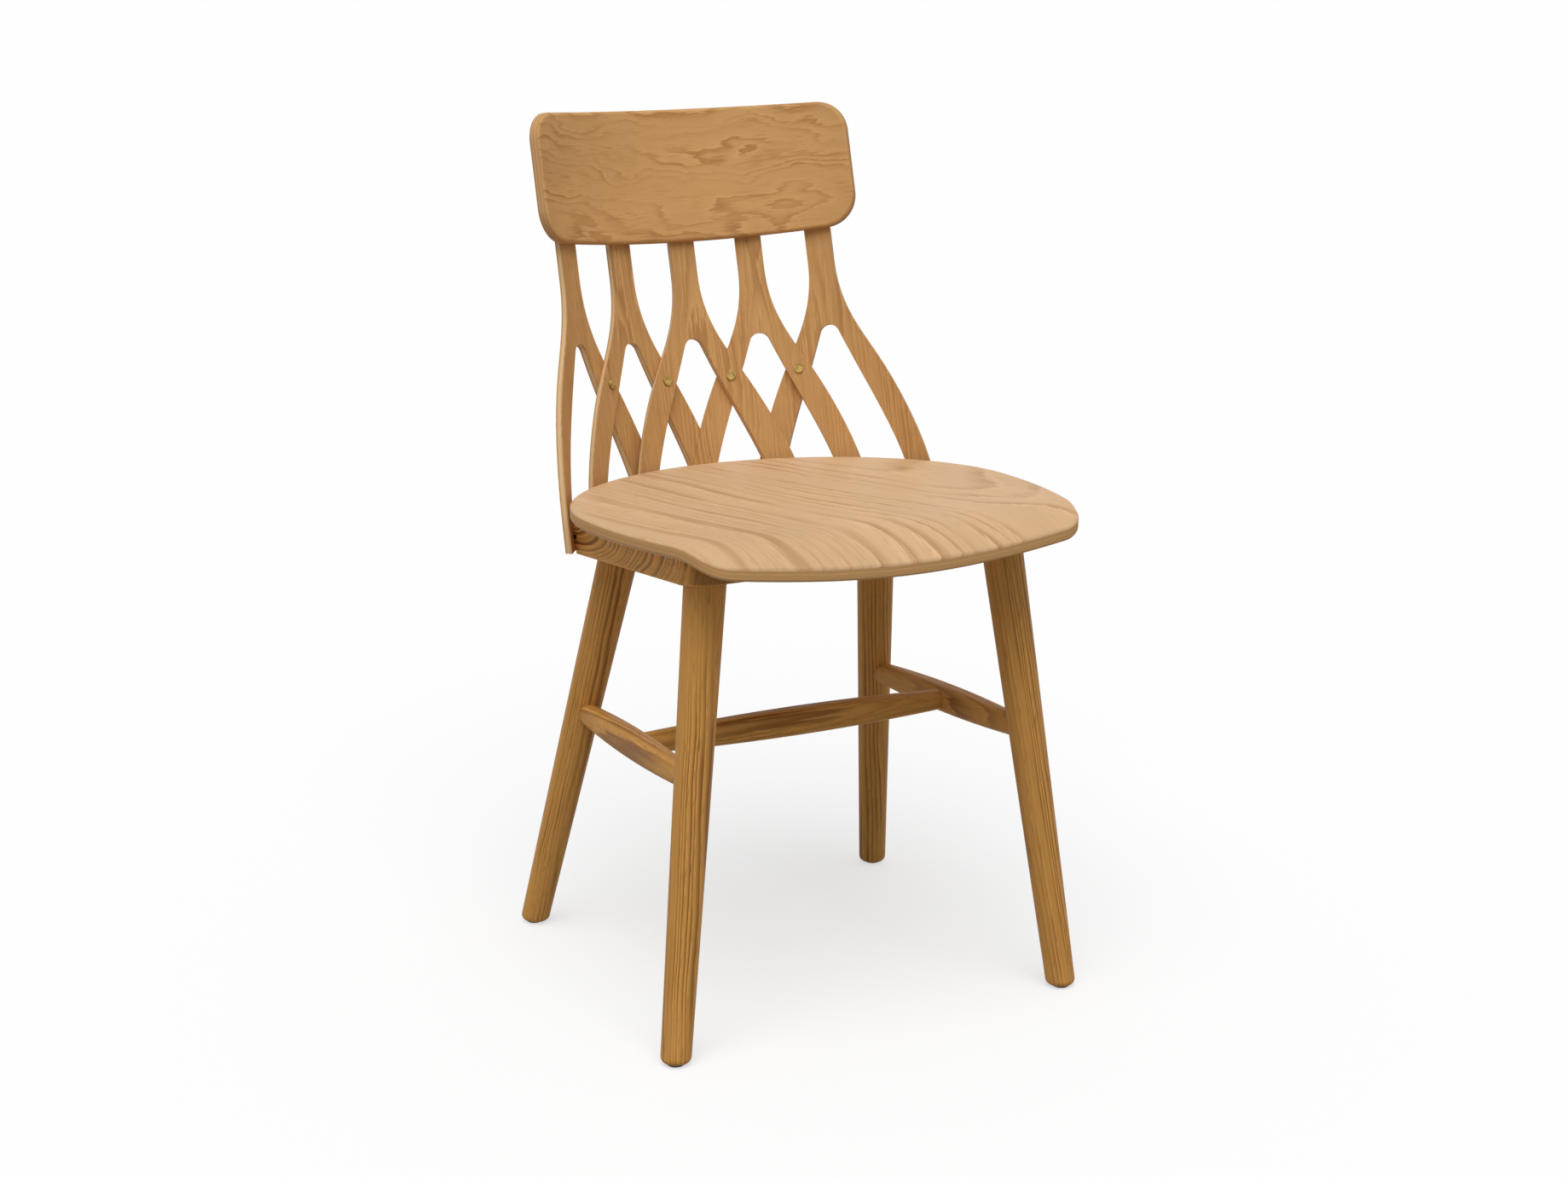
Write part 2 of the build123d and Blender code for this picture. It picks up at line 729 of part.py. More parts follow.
with BuildPart() as rear_rail:
    with BuildSketch(rail_foot):
        Circle(rail_back_radius)
        Circle(rail_back_radius - rear_rail_depth, mode=Mode.SUBTRACT)
        Rectangle(
            2 * side_rail_inner_x, 2 * rail_back_radius, align=(Align.CENTER, Align.MIN), mode=Mode.INTERSECT
        )
    extrude(amount=-rail_low)
    split(bisect_by=Plane.XY.offset(seat_brow_height), keep=Keep.BOTTOM)
    split(bisect_by=frame_bottom, keep=Keep.TOP)
    add(seat_space.part, mode=Mode.SUBTRACT)
    for slat in slats:
        add(slat_housing(slat), mode=Mode.SUBTRACT)
    for bore in dowel_bores + end_bores:
        add(bore, mode=Mode.SUBTRACT)
save(rear_rail.part, "rear_rail")

with BuildPart() as seat_panel:
    add(seat_blank.part)
    for bore in seat_bores:
        add(bore, mode=Mode.SUBTRACT)
save(seat_panel.part, "seat_panel")

# Fasteners, each kind kept together
with BuildPart() as crossing_posts:
    for seat in post_seats:
        add(headed_pin(seat, post_head_diameter, post_head_height, post_barrel_diameter, post_length))
        end = seat.origin - seat.z_dir * post_length
        inside = seat.origin - seat.z_dir * slat_gap
        add(rod(inside, end - seat.z_dir, post_screw_diameter + 2 * bore_clearance), mode=Mode.SUBTRACT)
save(crossing_posts.part, "crossing_posts")

with BuildPart() as crossing_screws:
    for seat in post_screw_seats:
        run = post_length - slat_gap
        add(headed_pin(seat, post_head_diameter, post_head_height, post_screw_diameter, run))
save(crossing_screws.part, "crossing_screws")

with BuildPart() as stem_screws:
    for seat in stem_seats:
        add(
            headed_pin(
                seat,
                stem_screw_head_diameter,
                stem_screw_head_height,
                stem_screw_diameter,
                stem_screw_length,
            )
        )
save(stem_screws.part, "stem_screws")

with BuildPart() as slat_end_screws:
    for seat in end_seats:
        add(
            headed_pin(
                seat,
                end_screw_head_diameter,
                end_screw_head_height,
                end_screw_diameter,
                end_screw_length,
            )
        )
save(slat_end_screws.part, "slat_end_screws")

with BuildPart() as seat_screws:
    for seat, run in seat_seats:
        add(
            headed_pin(
                seat,
                seat_screw_head_diameter,
                seat_screw_head_height,
                seat_screw_diameter,
                run + seat_screw_bite,
            )
        )
save(seat_screws.part, "seat_screws")

with BuildPart() as rail_dowels:
    for point in dowel_lines:
        add(rod(point - dowel_reach, point + dowel_reach, dowel_diameter))
save(rail_dowels.part, "rail_dowels")
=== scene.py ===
"""Wooden dining chair with a lattice back: finishes, fittings, studio and camera.

Metres, +Z up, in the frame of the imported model. The sitter faces -Y.
"""
import logging
import math
from abc import ABC, abstractmethod
from dataclasses import dataclass, field
from enum import Enum
from typing import Mapping, Optional, Union

import bmesh
import bpy
from mathutils import Matrix, Vector


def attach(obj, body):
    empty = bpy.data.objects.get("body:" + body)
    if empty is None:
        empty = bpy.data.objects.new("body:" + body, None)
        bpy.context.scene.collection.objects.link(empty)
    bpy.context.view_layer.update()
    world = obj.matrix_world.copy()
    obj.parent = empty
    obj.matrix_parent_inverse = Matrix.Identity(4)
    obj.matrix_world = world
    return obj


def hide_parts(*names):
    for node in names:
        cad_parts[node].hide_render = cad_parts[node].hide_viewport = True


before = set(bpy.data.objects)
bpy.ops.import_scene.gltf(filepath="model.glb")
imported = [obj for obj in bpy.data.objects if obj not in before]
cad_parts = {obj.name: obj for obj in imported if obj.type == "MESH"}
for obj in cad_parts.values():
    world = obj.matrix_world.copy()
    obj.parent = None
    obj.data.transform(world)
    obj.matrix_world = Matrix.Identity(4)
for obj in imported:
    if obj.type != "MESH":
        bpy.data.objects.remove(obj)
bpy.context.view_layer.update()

LOG = logging.getLogger("chair")
Triple = tuple[float, float, float]
Pair = tuple[float, float]
Colour = tuple[float, float, float, float]
Scalar = Union["Value", float]
Edges = list[bmesh.types.BMEdge]
ScrewSeat = tuple[Vector, Vector, float]

WHITE: Colour = (1.0, 1.0, 1.0, 1.0)
MIX_FACTOR, MIX_A, MIX_B, MIX_RESULT = 0, 6, 7, 2
PLAIN_DETAIL, COMMON_DETAIL, RICH_DETAIL = 1.0, 2.0, 3.0
NOISE_MIDDLE = 0.5
NEXT_TO_NOTHING = 1e-6


class Blend(Enum):
    """Ways in which one colour is laid over another."""

    MIX = "MIX"
    MULTIPLY = "MULTIPLY"


class End(Enum):
    """Ends of the underframe."""

    FRONT = "front"
    REAR = "rear"


class Side(Enum):
    """Sides of the chair, by the sign of X."""

    LEFT = -1
    RIGHT = 1

    def word(self) -> str:
        """The side as it stands in a piece's name."""
        return self.name.lower()


class Value:
    """An output socket, on which Python arithmetic adds Math nodes."""

    def __init__(self, graph: "Graph", socket: bpy.types.NodeSocket) -> None:
        """Keep the graph and its socket."""
        self.graph = graph
        self.socket = socket

    def __add__(self, other: Scalar) -> "Value":
        """Sum."""
        return self.graph.math("ADD", self, other)

    __radd__ = __add__

    def __sub__(self, other: Scalar) -> "Value":
        """Difference."""
        return self.graph.math("SUBTRACT", self, other)

    def __rsub__(self, other: Scalar) -> "Value":
        """Difference, from a number."""
        return self.graph.math("SUBTRACT", other, self)

    def __mul__(self, other: Scalar) -> "Value":
        """Product."""
        return self.graph.math("MULTIPLY", self, other)

    __rmul__ = __mul__

    def __truediv__(self, other: Scalar) -> "Value":
        """Quotient."""
        return self.graph.math("DIVIDE", self, other)

    def __abs__(self) -> "Value":
        """Size without sign."""
        return self.graph.math("ABSOLUTE", self)

    def root(self) -> "Value":
        """Square root."""
        return self.graph.math("SQRT", self)

    def fract(self) -> "Value":
        """Part after the point."""
        return self.graph.math("FRACT", self)

    def floor(self) -> "Value":
        """Whole part."""
        return self.graph.math("FLOOR", self)

    def above(self, level: float) -> "Value":
        """1 where the value is over a level, else 0."""
        return self.graph.math("GREATER_THAN", self, level)

    def ramp(self, low: float, high: float) -> "Value":
        """Rise smoothly from 0 to 1 between two levels.

        Args:
            low: Level up to which the result is 0.
            high: Level from which it is 1.

        Returns:
            The smooth step.
        """
        node = self.graph.node(
            "ShaderNodeMapRange",
            {"interpolation_type": "SMOOTHSTEP"},
            {"Value": self, "From Min": low, "From Max": high},
        )
        return Value(self.graph, node.outputs["Result"])


class Graph:
    """The node tree of one material or world, emptied and built again."""

    def __init__(self, tree: bpy.types.NodeTree) -> None:
        """Empty the tree."""
        tree.nodes.clear()
        self.tree = tree

    def node(
        self,
        kind: str,
        settings: Optional[Mapping[str, object]] = None,
        inputs: Optional[Mapping[Union[str, int], object]] = None,
    ) -> bpy.types.Node:
        """Add one node.

        Args:
            kind: Type of the node.
            settings: Its properties, which are set first.
            inputs: A value or a link for each socket, by name or number.

        Returns:
            The new node.
        """
        node = self.tree.nodes.new(kind)
        for name, setting in (settings or {}).items():
            setattr(node, name, setting)
        for key, given in (inputs or {}).items():
            if isinstance(given, Value):
                self.tree.links.new(given.socket, node.inputs[key])
            else:
                node.inputs[key].default_value = given
        return node

    def operate(self, kind: str, operation: str, operands: tuple) -> bpy.types.Node:
        """Add a node that does one operation on its operands."""
        return self.node(kind, {"operation": operation}, dict(enumerate(operands)))

    def math(self, operation: str, *operands: Scalar) -> Value:
        """Add a Math node on numbers and values."""
        return Value(self, self.operate("ShaderNodeMath", operation, operands).outputs[0])

    def vector_math(self, operation: str, *operands: Union[Value, Triple]) -> Value:
        """Add a Vector Math node on vectors."""
        node = self.operate("ShaderNodeVectorMath", operation, operands)
        return Value(self, node.outputs["Vector"])

    def dot(self, one: Value, other: Union[Value, Triple]) -> Value:
        """Dot product of two vectors."""
        node = self.operate("ShaderNodeVectorMath", "DOT_PRODUCT", (one, other))
        return Value(self, node.outputs["Value"])

    def split(self, vector: Value) -> tuple[Value, Value, Value]:
        """Take a vector apart into its three values."""
        x, y, z = self.node("ShaderNodeSeparateXYZ", inputs={"Vector": vector}).outputs
        return Value(self, x), Value(self, y), Value(self, z)

    def join(self, x: Scalar, y: Scalar, z: Scalar) -> Value:
        """Put three values together as a vector."""
        node = self.node("ShaderNodeCombineXYZ", inputs={0: x, 1: y, 2: z})
        return Value(self, node.outputs[0])

    def mix(
        self,
        factor: Scalar,
        under: Union[Value, Colour],
        over: Union[Value, Colour],
        blend: Blend = Blend.MIX,
    ) -> Value:
        """Lay one colour over another.

        Args:
            factor: How much of the upper colour shows.
            under: The lower colour.
            over: The upper colour.
            blend: How they are combined.

        Returns:
            The mixed colour.
        """
        node = self.node(
            "ShaderNodeMix",
            {"data_type": "RGBA", "blend_type": blend.value},
            {MIX_FACTOR: factor, MIX_A: under, MIX_B: over},
        )
        return Value(self, node.outputs[MIX_RESULT])

    def noise_node(self, place: Value, waves: Triple, detail: float) -> bpy.types.Node:
        """Add noise with its own scale in each direction.

        Args:
            place: Place in metres.
            waves: Waves to a metre in each direction.
            detail: Octaves of finer noise on top.

        Returns:
            The noise node.
        """
        stretched = self.vector_math("MULTIPLY", place, waves)
        inputs = {"Vector": stretched, "Scale": 1.0, "Detail": detail}
        return self.node("ShaderNodeTexNoise", inputs=inputs)

    def noise(self, place: Value, waves: Triple, detail: float = COMMON_DETAIL) -> Value:
        """Noise as a value about one half."""
        return Value(self, self.noise_node(place, waves, detail).outputs["Fac"])

    def noise_vector(self, place: Value, waves: Triple, detail: float = COMMON_DETAIL) -> Value:
        """Noise as a vector about one half each way."""
        return Value(self, self.noise_node(place, waves, detail).outputs["Color"])

    def object_place(self) -> Value:
        """Place on the piece, in metres."""
        return Value(self, self.node("ShaderNodeTexCoord").outputs["Object"])

    def facing(self, direction: Triple) -> Value:
        """How squarely the surface faces along a direction, either way, from 0 to 1."""
        normal = Value(self, self.node("ShaderNodeTexCoord").outputs["Normal"])
        return abs(self.dot(normal, direction))

    def surface(
        self,
        colour: Value,
        rough: Scalar,
        height: Value,
        relief: Pair,
        levels: Optional[Mapping[str, float]] = None,
    ) -> None:
        """Finish a material with one bumped surface.

        Args:
            colour: Colour of the surface.
            rough: Its roughness.
            height: Its height, in shares of the relief.
            relief: Strength of the bump, and its depth in metres.
            levels: Other sockets of the shader, the same all over the surface.
        """
        strength, depth = relief
        bump = self.node(
            "ShaderNodeBump", inputs={"Strength": strength, "Distance": depth, "Height": height}
        )
        normal = Value(self, bump.outputs["Normal"])
        inputs = {"Base Color": colour, "Roughness": rough, "Normal": normal, **(levels or {})}
        self.finish(self.node("ShaderNodeBsdfPrincipled", inputs=inputs))

    def finish(self, shader: bpy.types.Node) -> None:
        """Link a shader to the material's output."""
        surface = Value(self, shader.outputs[0])
        self.node("ShaderNodeOutputMaterial", inputs={"Surface": surface})


@dataclass(frozen=True)
class Tone:
    """A colour as it looks, in steps of 0 to 255."""

    red: int
    green: int
    blue: int

    def linear(self) -> Colour:
        """Turn the colour into light, by the sRGB curve.

        Returns:
            The colour as Blender takes it.
        """
        steps = (self.red / 255, self.green / 255, self.blue / 255)
        light = [
            step / 12.92 if step <= 0.04045 else ((step + 0.055) / 1.055) ** 2.4 for step in steps
        ]
        return (light[0], light[1], light[2], 1.0)


def new_material(name: str) -> tuple[bpy.types.Material, Graph]:
    """Make a named material with an empty graph.

    Args:
        name: Name of the material.

    Returns:
        The material, and the graph to fill.
    """
    material = bpy.data.materials.new(name)
    material.use_nodes = True
    return material, Graph(material.node_tree)


def dress(piece: bpy.types.Object, material: bpy.types.Material) -> None:
    """Put one material on the whole of a piece.

    Args:
        piece: The piece.
        material: The material.
    """
    if not piece.material_slots:
        piece.data.materials.append(material)
    for slot in piece.material_slots:
        slot.material = material


@dataclass(frozen=True)
class Figure:
    """How the growth rings lie in one board.

    The board's coordinates are across its face, through its thickness and along its grain. The
    pith crosses the board's origin plane at one place and leans by the run along the grain. The
    drift is how far the rings wander. The offset gives each board its own noise.
    """

    pith: Pair
    run: Pair
    ring: float
    drift: float
    drift_length: float = 0.14
    offset: Triple = (0.0, 0.0, 0.0)
    drift_waves_across: float = 2.5
    rings_in_spacing: float = 3.5
    spacing_swing: float = 5.0

    def phase(self, graph: Graph, board: Value, tree: Value) -> Value:
        """Count the growth rings outwards from the pith.

        Args:
            graph: Graph to add to.
            board: Place in the board.
            tree: Place in the noise of this board.

        Returns:
            The number of rings, with its share of the last one.
        """
        across, through, along = graph.split(board)
        wave = 1 / self.drift_length
        waves = (self.drift_waves_across * wave, self.drift_waves_across * wave, wave)
        drift_x, drift_y, _ = graph.split(graph.noise_vector(tree, waves))
        sway, heave = (drift_x - NOISE_MIDDLE) * self.drift, (drift_y - NOISE_MIDDLE) * self.drift
        side = across + sway - along * self.run[0] - self.pith[0]
        deep = through + heave - along * self.run[1] - self.pith[1]
        radius = (side * side + deep * deep).root()
        spacing = graph.node(
            "ShaderNodeTexNoise",
            {"noise_dimensions": "1D"},
            {
                "W": radius / (self.rings_in_spacing * self.ring),
                "Scale": 1.0,
                "Detail": PLAIN_DETAIL,
            },
        )
        return radius / self.ring + Value(graph, spacing.outputs["Fac"]) * self.spacing_swing


@dataclass(frozen=True)
class Layers:
    """Scales and shares of the layers in which every timber's grain is drawn.

    Waves are to a metre, across, through and along the grain. Levels are where a noise, or the
    way through a ring, starts to count and where it counts in full.
    """

    fibre_waves: Triple = (2600.0, 2600.0, 70.0)
    streak_waves_across: float = 420.0
    cloud_waves: Triple = (14.0, 14.0, 4.0)
    strength_waves: Triple = (40.0, 40.0, 7.0)
    strength_levels: Pair = (0.34, 0.66)
    weak_ring: float = 0.2
    late_full: float = 0.90
    late_fall: Pair = (0.91, 1.0)
    fresh_levels: Pair = (0.0, 0.30)
    pore_waves: Triple = (1900.0, 1900.0, 55.0)
    pore_levels: Pair = (0.56, 0.70)
    pore_most: float = 1.15
    pore_fall: Pair = (0.1, 0.6)
    dark: float = 0.77
    cloud_light: float = 0.20
    streak_light: float = 0.14
    fibre_light: float = 0.08
    fresh_light: float = 0.12
    pore_rough: float = 0.14
    fibre_rough: float = 0.10
    ring_smooth: float = 0.05
    ring_height: float = 0.35
    fibre_height: float = 0.30


@dataclass(frozen=True)
class Timber:
    """Colours and surface of one kind of timber."""

    name: str
    early: Tone
    late: Tone
    pore: Tone
    streaks: float = 9.0
    late_from: float = 0.30
    ring_depth: float = 0.85
    pore_depth: float = 0.50
    ragged: float = 0.40
    roughness: float = 0.50
    relief: float = 0.00018
    relief_strength: float = 0.5
    gloss: float = 0.12
    layers: Layers = Layers()

    def grain(self, graph: Graph, board: Value, figure: Figure) -> tuple[Value, Value, Value]:
        """Draw growth rings, fibres and pores.

        Args:
            graph: Graph to add to.
            board: Place in the board.
            figure: How the rings lie.

        Returns:
            The colour, the roughness and the height of the surface.
        """
        layers = self.layers
        tree = graph.vector_math("ADD", board, figure.offset)
        fibre = graph.noise(tree, layers.fibre_waves)
        streak_waves = (layers.streak_waves_across, layers.streak_waves_across, self.streaks)
        streak = graph.noise(tree, streak_waves)
        teeth = (streak - NOISE_MIDDLE) * self.ragged
        fine_teeth = (fibre - NOISE_MIDDLE) * (0.5 * self.ragged)
        turn = (figure.phase(graph, board, tree) + teeth + fine_teeth).fract()
        late = turn.ramp(self.late_from, layers.late_full) * (1 - turn.ramp(*layers.late_fall))
        strength = graph.noise(tree, layers.strength_waves).ramp(*layers.strength_levels)
        rings = late * (strength * (1 - layers.weak_ring) + layers.weak_ring)
        pores = graph.noise(tree, layers.pore_waves, PLAIN_DETAIL).ramp(*layers.pore_levels)
        pores = pores * (layers.pore_most - turn.ramp(*layers.pore_fall))
        cloud = graph.noise(tree, layers.cloud_waves)
        fresh = (1 - turn.ramp(*layers.fresh_levels)) * strength
        shade = layers.dark + cloud * layers.cloud_light + streak * layers.streak_light
        shade = shade + fibre * layers.fibre_light + fresh * layers.fresh_light
        colour = graph.mix(rings * self.ring_depth, self.early.linear(), self.late.linear())
        colour = graph.mix(1.0, colour, shade, Blend.MULTIPLY)
        colour = graph.mix(pores * self.pore_depth, colour, self.pore.linear())
        rough = self.roughness + pores * layers.pore_rough
        rough = rough + (fibre - NOISE_MIDDLE) * layers.fibre_rough - rings * layers.ring_smooth
        height = rings * layers.ring_height + fibre * layers.fibre_height - pores
        return colour, rough, height

    def shader(self, graph: Graph, colour: Value, rough: Value, height: Value) -> None:
        """Finish a graph with a thinly lacquered surface."""
        relief = (self.relief_strength, self.relief)
        graph.surface(colour, rough, height, relief, {"Specular IOR Level": self.gloss})


@dataclass(frozen=True)
class Board:
    """A straight board: where its grain starts, runs and faces."""

    origin: Triple
    along: Triple
    through: Triple

    def place(self, graph: Graph) -> Value:
        """Find the place in the board.

        Args:
            graph: Graph to add to.

        Returns:
            A vector across its face, through it and along its grain.
        """
        along = Vector(self.along).normalized()
        across = Vector(self.through).cross(along).normalized()
        through = along.cross(across)
        turn = Matrix((across, through, along))
        shift = turn @ Vector(self.origin)
        node = graph.node(
            "ShaderNodeMapping",
            {"vector_type": "POINT"},
            {"Vector": graph.object_place(), "Location": -shift, "Rotation": turn.to_euler()},
        )
        return Value(graph, node.outputs["Vector"])


class Sheet(ABC):
    """A bent ply sheet, with its own coordinates that follow the bend."""

    thickness: float

    @abstractmethod
    def place(self, graph: Graph) -> tuple[Value, Value]:
        """Find the place in the flat sheet, and the depth under its first face.

        Args:
            graph: Graph to add to.

        Returns:
            A vector across the face, through it and along its grain, and the depth alone.
        """


@dataclass(frozen=True)
class SeatSheet(Sheet):
    """The seat's side view: a dished arc, then an arc that rolls down at the front."""

    thickness: float = 0.012
    rear: Pair = (0.15692, 0.447)
    brow: Pair = (-0.1885, 0.4615)
    front: Pair = (-0.271, 0.428)
    dish: float = 0.0008
    turn: float = math.radians(10.0)

    def arcs(self) -> tuple[Vector, float, Vector, float]:
        """Work out the two arcs, in the YZ plane.

        Returns:
            Centre and radius of the dished arc, then of the arc that rolls down.
        """
        rear, brow, front = Vector(self.rear), Vector(self.brow), Vector(self.front)
        chord = rear - brow
        middle = (rear + brow) / 2
        sag = Vector((0.0, self.dish))
        upright = Vector((-chord.y, chord.x)).normalized()
        reach = ((chord.length / 2) ** 2 - sag.length_squared) / (2 * sag.dot(upright))
        centre = middle + upright * reach
        outward = (brow - centre).normalized()
        step = front - brow
        roll = step.length_squared / (2 * step.dot(outward))
        return centre, (centre - brow).length, brow + outward * roll, abs(roll)

    def place(self, graph: Graph) -> tuple[Value, Value]:
        """Find the place in the flat seat, with its grain nearly from front to back.

        Args:
            graph: Graph to add to.

        Returns:
            A vector across the face, through it and along its grain, and the depth alone.
        """
        centre, radius, roll_centre, roll_radius = self.arcs()
        x, y, z = graph.split(graph.object_place())
        dish_y, dish_z = y - centre.x, z - centre.y
        roll_y, roll_z = y - roll_centre.x, z - roll_centre.y
        dish_depth = (dish_y * dish_y + dish_z * dish_z).root() - radius
        roll_depth = roll_radius - (roll_y * roll_y + roll_z * roll_z).root()
        behind = y.above(self.brow[0])
        depth = dish_depth * behind + roll_depth * (1 - behind)
        across = x * math.cos(self.turn) + y * math.sin(self.turn)
        along = y * math.cos(self.turn) - x * math.sin(self.turn)
        return graph.join(across, depth, along), depth


@dataclass(frozen=True)
class BentSheet(Sheet):
    """A sheet bent round an axis that leans with the back."""

    origin: Triple
    lean: float
    centre: Pair
    front_radius: float
    thickness: float
    upright_grain: bool
    facing: float = 0.0

    def place(self, graph: Graph) -> tuple[Value, Value]:
        """Find the place in the flat sheet, with its grain upright or across.

        Args:
            graph: Graph to add to.

        Returns:
            A vector across the face, through it and along its grain, and the depth alone.
        """
        up = (0.0, math.sin(self.lean), math.cos(self.lean))
        back = (0.0, math.cos(self.lean), -math.sin(self.lean))
        x, y, height = graph.split(Board(self.origin, up, back).place(graph))
        side, deep = x - self.centre[0], y - self.centre[1]
        depth = (side * side + deep * deep).root() - self.front_radius
        around = (graph.math("ARCTAN2", side, deep) - self.facing) * self.front_radius
        if self.upright_grain:
            return graph.join(around, depth, height), depth
        return graph.join(height, depth, around), depth


@dataclass(frozen=True)
class Ply:
    """A sheet of crossed veneers: a figured face and a layered edge."""

    timber: Timber
    layers: int
    long_layer: Tone
    cross_layer: Tone
    glue: Tone
    dot_waves: Triple = (1500.0, 1500.0, 1500.0)
    line_waves: Triple = (90.0, 2400.0, 90.0)
    edge_dark: float = 0.80
    edge_light: float = 0.30
    seam_levels: Pair = (0.30, 0.48)
    seam_depth: float = 0.22
    edge_rough: float = 0.10
    dot_height: float = 0.6
    layer_height: float = 0.8

    def material(self, name: str, sheet: Sheet, figure: Figure) -> bpy.types.Material:
        """Make the finish for one sheet.

        Args:
            name: Name of the material.
            sheet: The bent sheet.
            figure: How the face veneer's rings lie.

        Returns:
            The material.
        """
        material, graph = new_material(name)
        board, depth = sheet.place(graph)
        colour, rough, height = self.timber.grain(graph, board, figure)
        layer = depth * (self.layers / sheet.thickness)
        inner = layer.above(1.0) * (1 - layer.above(self.layers - 1.0))
        crossed = graph.math("PINGPONG", layer.floor(), 1.0)
        dots = graph.noise(board, self.dot_waves)
        lines = graph.noise(board, self.line_waves)
        edge = graph.mix(crossed, self.long_layer.linear(), self.cross_layer.linear())
        dotted, lined = crossed * dots * self.edge_light, (1 - crossed) * lines * self.edge_light
        edge = graph.mix(1.0, edge, self.edge_dark + dotted + lined, Blend.MULTIPLY)
        seam = abs(layer.fract() - 0.5).ramp(*self.seam_levels)
        edge = graph.mix(seam * self.seam_depth, edge, self.glue.linear())
        colour = graph.mix(inner, colour, edge)
        rough = rough + inner * self.edge_rough
        edge_height = dots * self.dot_height + (1 - seam) * self.layer_height
        height = height * (1 - inner) + inner * edge_height
        self.timber.shader(graph, colour, rough, height)
        return material


@dataclass(frozen=True)
class Metal:
    """Turned or plated metal of one colour."""

    name: str
    bright: Tone
    dull: Tone
    roughness: float
    mark_waves: Triple = (2600.0, 2600.0, 2600.0)
    tarnish_waves: Triple = (230.0, 230.0, 230.0)
    tarnish_levels: Pair = (0.35, 0.75)
    mark_rough: float = 0.12
    tarnish_rough: float = 0.10
    relief: Pair = (0.25, 0.0001)

    def material(self) -> bpy.types.Material:
        """Make the finish, with fine tool marks and a little tarnish.

        Returns:
            The material.
        """
        material, graph = new_material(self.name)
        place = graph.object_place()
        marks = graph.noise(place, self.mark_waves, RICH_DETAIL)
        tarnish = graph.noise(place, self.tarnish_waves, RICH_DETAIL)
        dulled = tarnish.ramp(*self.tarnish_levels)
        colour = graph.mix(dulled, self.bright.linear(), self.dull.linear())
        rough = self.roughness + marks * self.mark_rough + tarnish * self.tarnish_rough
        graph.surface(colour, rough, marks, self.relief, {"Metallic": 1.0})
        return material


@dataclass(frozen=True)
class Moulding:
    """Moulded plastic with a fine spark-eroded texture."""

    name: str
    body: Tone
    worn: Tone
    texture_waves: Triple = (3200.0, 3200.0, 3200.0)
    wear_waves: Triple = (160.0, 160.0, 160.0)
    wear_levels: Pair = (0.5, 0.8)
    wear_depth: float = 0.6
    roughness: float = 0.48
    texture_rough: float = 0.15
    relief: Pair = (0.3, 0.0002)

    def material(self) -> bpy.types.Material:
        """Make the finish, with its texture and some wear.

        Returns:
            The material.
        """
        material, graph = new_material(self.name)
        place = graph.object_place()
        texture = graph.noise(place, self.texture_waves)
        wear = graph.noise(place, self.wear_waves, RICH_DETAIL).ramp(*self.wear_levels)
        colour = graph.mix(wear * self.wear_depth, self.body.linear(), self.worn.linear())
        rough = self.roughness + texture * self.texture_rough
        graph.surface(colour, rough, texture, self.relief)
        return material


SEAT_VENEER = Timber(
    "seat_veneer", Tone(213, 175, 133), Tone(166, 114, 64), Tone(140, 96, 56),
    streaks=14.0, late_from=0.50, ring_depth=0.60, pore_depth=0.35, ragged=0.45,
    relief=0.00012,
)
PANEL_VENEER = Timber(
    "panel_veneer", Tone(209, 161, 105), Tone(160, 106, 50), Tone(128, 86, 44),
    streaks=45.0, late_from=0.40, ring_depth=0.66, pore_depth=0.30, ragged=1.00,
    roughness=0.52, relief=0.0001,
)
SLAT_VENEER = Timber(
    "slat_veneer", Tone(203, 156, 100), Tone(150, 98, 48), Tone(112, 72, 34),
    streaks=22.0, late_from=0.25, ring_depth=0.50, pore_depth=0.40, ragged=0.70,
    roughness=0.54, relief=0.00012,
)
LEG_OAK = Timber("leg_oak", Tone(216, 158, 84), Tone(126, 76, 26), Tone(92, 56, 20))
FRAME_OAK = Timber(
    "frame_oak", Tone(242, 178, 98), Tone(122, 78, 30), Tone(88, 54, 22),
    late_from=0.35, pore_depth=0.40, ragged=0.22, roughness=0.58,
)
STRETCHER_OAK = Timber(
    "stretcher_oak", Tone(216, 158, 82), Tone(136, 84, 32), Tone(92, 56, 22),
    ring_depth=0.80, ragged=0.45,
)
DOWEL_BEECH = Timber(
    "dowel_beech", Tone(205, 165, 120), Tone(182, 138, 94), Tone(140, 100, 66),
    ring_depth=0.50, pore_depth=0.30, roughness=0.55, relief=0.0001,
)
SEAT_PLY = Ply(
    SEAT_VENEER, layers=7,
    long_layer=Tone(214, 167, 113), cross_layer=Tone(204, 157, 103), glue=Tone(146, 103, 61),
)
SLAT_PLY = Ply(
    SLAT_VENEER, layers=5,
    long_layer=Tone(234, 198, 152), cross_layer=Tone(224, 186, 138), glue=Tone(160, 116, 72),
)
PANEL_PLY = Ply(
    PANEL_VENEER, layers=7,
    long_layer=Tone(212, 168, 120), cross_layer=Tone(196, 148, 98), glue=Tone(140, 98, 58),
)
BRASS = Metal("rivet_brass", Tone(190, 158, 92), Tone(118, 96, 48), roughness=0.24)
ZINC = Metal("plated_steel", Tone(196, 196, 192), Tone(150, 150, 148), roughness=0.30)
BLACKED = Metal("blacked_steel", Tone(58, 50, 44), Tone(34, 30, 28), roughness=0.42)
GLIDE_NYLON = Moulding("glide_nylon", Tone(46, 38, 32), Tone(92, 82, 74))


